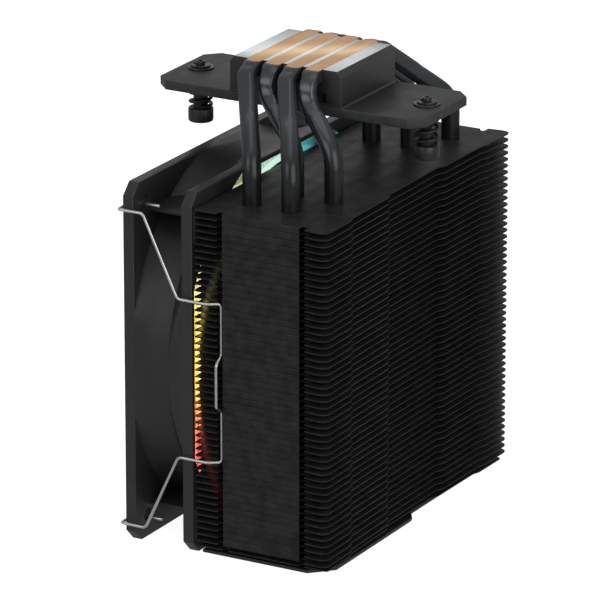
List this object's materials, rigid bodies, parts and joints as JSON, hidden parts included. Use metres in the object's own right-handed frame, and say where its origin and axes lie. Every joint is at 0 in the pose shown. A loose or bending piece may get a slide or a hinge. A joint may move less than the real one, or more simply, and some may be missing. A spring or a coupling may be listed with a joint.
{
  "type": "cpu tower cooler",
  "caption": "Single-tower CPU cooler with direct-contact heat pipes, a sprung crossbar mount and a clipped-on lit 120 mm fan.",
  "frame": {"origin": "underside of the cover plate, straight under the middle of the cold plate", "axes": "+Z from the cover up to the cold plate's contact face, +Y along the air flow from the fan through the fins, +X across the tower"},
  "size_m": [0.1256, 0.0964, 0.1533],
  "materials": {
    "fin_black": "matte black coated",
    "cover_black": "matte black coated",
    "black_nickel": "black nickel plated copper, bare copper on the contact face",
    "block_black": "black coated with a milled contact face",
    "bar_black": "satin black",
    "screw_black": "black oxide",
    "spring_black": "black oxide",
    "clip_steel": "bright drawn wire",
    "fan_plastic": "fine moulded texture",
    "blade_plastic": "fine moulded texture",
    "diffuser": "translucent",
    "board": "solder mask",
    "led_white": "lens",
    "pad_rubber": "matte",
    "yoke_steel": "drawn",
    "magnet": "matte",
    "shaft_steel": "ground",
    "sleeve_bronze": "sintered",
    "lamination": "stacked sheet",
    "copper_wire": "enamelled",
    "nylon": "moulded"
  },
  "bodies": {
    "heatsink": {"fin_stack": "fin_black", "cover_plate": "cover_black", "heat_pipe_1": "black_nickel", "heat_pipe_2": "black_nickel", "heat_pipe_3": "black_nickel", "heat_pipe_4": "black_nickel", "base_block": "block_black", "mounting_bracket": "bar_black", "bracket_screws": "screw_black", "fan_frame": "fan_plastic", "light_ring": "diffuser", "light_board": "board", "leds": "led_white", "fan_pads": "pad_rubber", "bearing_sleeve": "sleeve_bronze", "stator_core": "lamination", "stator_coils": "copper_wire", "motor_board": "board"},
    "rotor": {"impeller": "blade_plastic", "rotor_yoke": "yoke_steel", "rotor_magnet": "magnet", "rotor_shaft": "shaft_steel", "shaft_retainer": "nylon"},
    "retainer_left": {"stem_washer_left": "screw_black", "e_clip_left": "screw_black", "screw_spring_left": "spring_black"},
    "retainer_right": {"stem_washer_right": "screw_black", "e_clip_right": "screw_black", "screw_spring_right": "spring_black"},
    "screw_left": {"spring_screw_left": "screw_black"},
    "screw_right": {"spring_screw_right": "screw_black"},
    "clip_left": {"fan_clip_left": "clip_steel"},
    "clip_right": {"fan_clip_right": "clip_steel"}
  },
  "joints": [
    {"name": "fan_spin", "type": "hinge", "parent": "heatsink", "child": "rotor", "pos_m": [0, -0.0247, 0.06], "axis": [0, 1, 0], "continuous": true},
    {"name": "screw_push_left", "type": "slide", "parent": "heatsink", "child": "retainer_left", "axis": [0, 0, 1], "range_m": [0, 0.005], "stiffness_N_per_m": 2500, "springref_m": -0.002, "deforming": ["screw_spring_left"]},
    {"name": "screw_turn_left", "type": "hinge", "parent": "retainer_left", "child": "screw_left", "pos_m": [0, -0.04125, 0.13], "axis": [0, 0, 1], "continuous": true},
    {"name": "screw_push_right", "type": "slide", "parent": "heatsink", "child": "retainer_right", "axis": [0, 0, 1], "range_m": [0, 0.005], "stiffness_N_per_m": 2500, "springref_m": -0.002, "deforming": ["screw_spring_right"]},
    {"name": "screw_turn_right", "type": "hinge", "parent": "retainer_right", "child": "screw_right", "pos_m": [0, 0.04125, 0.13], "axis": [0, 0, 1], "continuous": true},
    {"name": "clip_open_left", "type": "hinge", "parent": "heatsink", "child": "clip_left", "pos_m": [-0.0525, -0.0328, 0.0593], "axis": [0, 0, 1], "range_deg": [0, 15], "stiffness_Nm_per_rad": 0.05, "springref_deg": -5.73},
    {"name": "clip_open_right", "type": "hinge", "parent": "heatsink", "child": "clip_right", "pos_m": [0.0525, -0.0328, 0.0593], "axis": [0, 0, -1], "range_deg": [0, 15], "stiffness_Nm_per_rad": 0.05, "springref_deg": -5.73}
  ]
}
